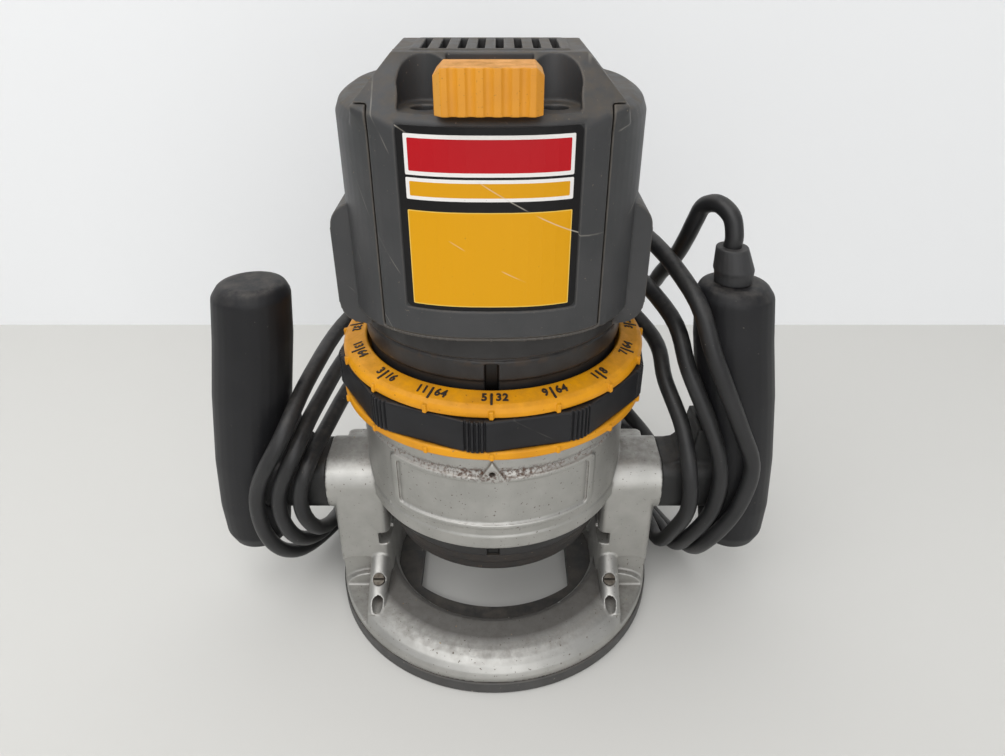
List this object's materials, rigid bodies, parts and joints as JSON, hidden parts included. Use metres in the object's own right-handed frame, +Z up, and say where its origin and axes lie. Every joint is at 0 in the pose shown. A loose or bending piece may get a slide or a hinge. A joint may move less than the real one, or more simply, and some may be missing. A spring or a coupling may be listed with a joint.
{
  "type": "electric router",
  "caption": "Fixed-base electric router with two side grips, a depth ring that raises the motor, a slide switch, a split collet and its cord wound round it.",
  "frame": {"origin": "centre of the round sub-base's underside, which stands on the surface", "axes": "+Z up along the motor's axis, +X through the right-hand grip, -Y to the front with the switch and the label plate"},
  "size_m": [0.2584, 0.2052, 0.2495],
  "materials": {
    "casting": "satin",
    "base_plate": "matte",
    "steel": "dull",
    "bright_steel": "ground",
    "dark_steel": "blackened",
    "lever": "satin black",
    "handle_plastic": "fine texture",
    "soft_grip": "soft matte",
    "terminal": "plain",
    "ring_yellow": "worn, with grime",
    "knob_yellow": "worn",
    "band_rubber": "matte",
    "can_metal": "satin black",
    "black_metal": "satin black",
    "bearing": "polished",
    "housing_plastic": "textured, dusty",
    "lamination": "bare",
    "winding": "enamelled copper",
    "brass": "plain",
    "carbon": "carbon",
    "label": "printed fields without text",
    "fan_metal": "cast",
    "cord_rubber": "satin"
  },
  "bodies": {
    "base": {"base_casting": "casting", "sub_base": "base_plate", "sub_base_screws": "steel", "guide_rod_screws": "steel", "guide_pin": "steel", "clamp_bolt": "steel", "clamp_washer": "steel", "left_handle_frame": "handle_plastic", "right_handle_frame": "handle_plastic", "left_soft_grip": "soft_grip", "right_soft_grip": "soft_grip", "handle_bolts": "steel", "terminal_block": "terminal", "strain_relief": "cord_rubber", "power_cord": "cord_rubber", "plug_body": "cord_rubber", "plug_blades": "brass"},
    "clamp_lever_arm": {"clamp_lever": "lever"},
    "ring": {"depth_ring": "ring_yellow", "ring_grip_band": "band_rubber"},
    "motor": {"motor_can": "can_metal", "end_bracket": "black_metal", "bracket_screws": "steel", "lower_bearing": "bearing", "bearing_retainer": "steel", "retainer_screws": "steel", "fan_baffle": "housing_plastic", "field_stator": "lamination", "field_coils": "winding", "upper_bracket": "housing_plastic", "upper_bearing": "bearing", "brush_holders": "brass", "brushes": "carbon", "brush_springs": "steel", "brush_caps": "housing_plastic", "motor_housing": "housing_plastic", "housing_screws": "steel", "top_cover": "housing_plastic", "cover_screws": "steel", "label_plate": "label", "switch_body": "handle_plastic"},
    "switch": {"switch_knob": "knob_yellow"},
    "rotor": {"spindle": "bright_steel", "armature_core": "lamination", "armature_windings": "winding", "commutator": "brass", "fan": "fan_metal", "collet": "bright_steel"},
    "nut": {"collet_nut": "dark_steel"}
  },
  "joints": [
    {"name": "ring_turn", "type": "hinge", "parent": "base", "child": "ring", "pos_m": [0, 0, 0.1286], "axis": [0, 0, 1], "range_deg": [-216, 2160]},
    {"name": "motor_slide", "type": "slide", "parent": "base", "child": "motor", "axis": [0, 0, 1], "range_m": [-0.0039, 0.0382]},
    {"name": "spindle_spin", "type": "hinge", "parent": "motor", "child": "rotor", "pos_m": [0, 0, 0.1], "axis": [0, 0, 1], "continuous": true},
    {"name": "collet_nut_turn", "type": "hinge", "parent": "rotor", "child": "nut", "pos_m": [0, 0, 0.02], "axis": [0, 0, 1], "range_deg": [0, 360]},
    {"name": "switch_slide", "type": "slide", "parent": "motor", "child": "switch", "axis": [1, 0, 0], "range_m": [0, 0.006]},
    {"name": "clamp_lever_swing", "type": "hinge", "parent": "base", "child": "clamp_lever_arm", "pos_m": [0.019, 0.065, 0.078], "axis": [1, 0, 0], "range_deg": [0, 90]}
  ],
  "couplings": [
    {"joint": "motor_slide", "follows": "ring_turn", "m_per_rad": 0.0010106}
  ]
}
